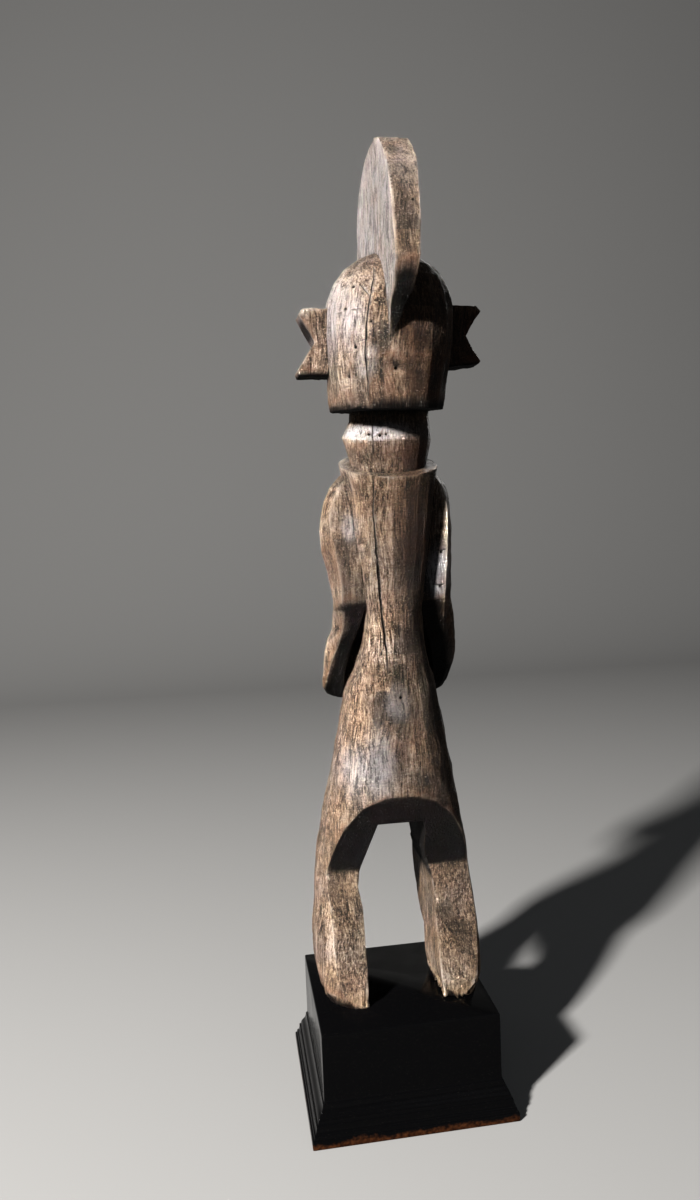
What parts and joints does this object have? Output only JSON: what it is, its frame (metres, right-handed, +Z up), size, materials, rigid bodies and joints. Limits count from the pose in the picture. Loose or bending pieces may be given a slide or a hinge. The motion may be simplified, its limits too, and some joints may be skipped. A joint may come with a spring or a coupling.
{
  "type": "carved wooden figure on a plinth",
  "caption": "Carved wooden standing figure with a tall disc crest, notched ears, ringed neck, arms held to the sides and bent legs, on a stepped black lacquered plinth.",
  "frame": {"origin": "centre of the plinth's underside", "axes": "+Z up along the figure, -Y the way the figure faces, +X its left"},
  "size_m": [0.1347, 0.1545, 0.6172],
  "materials": {
    "carved_wood": "dry weathered carved wood",
    "black_lacquer": "glossy black lacquer"
  },
  "bodies": {
    "root": {"figure": "carved_wood", "plinth": "black_lacquer"}
  },
  "joints": []
}
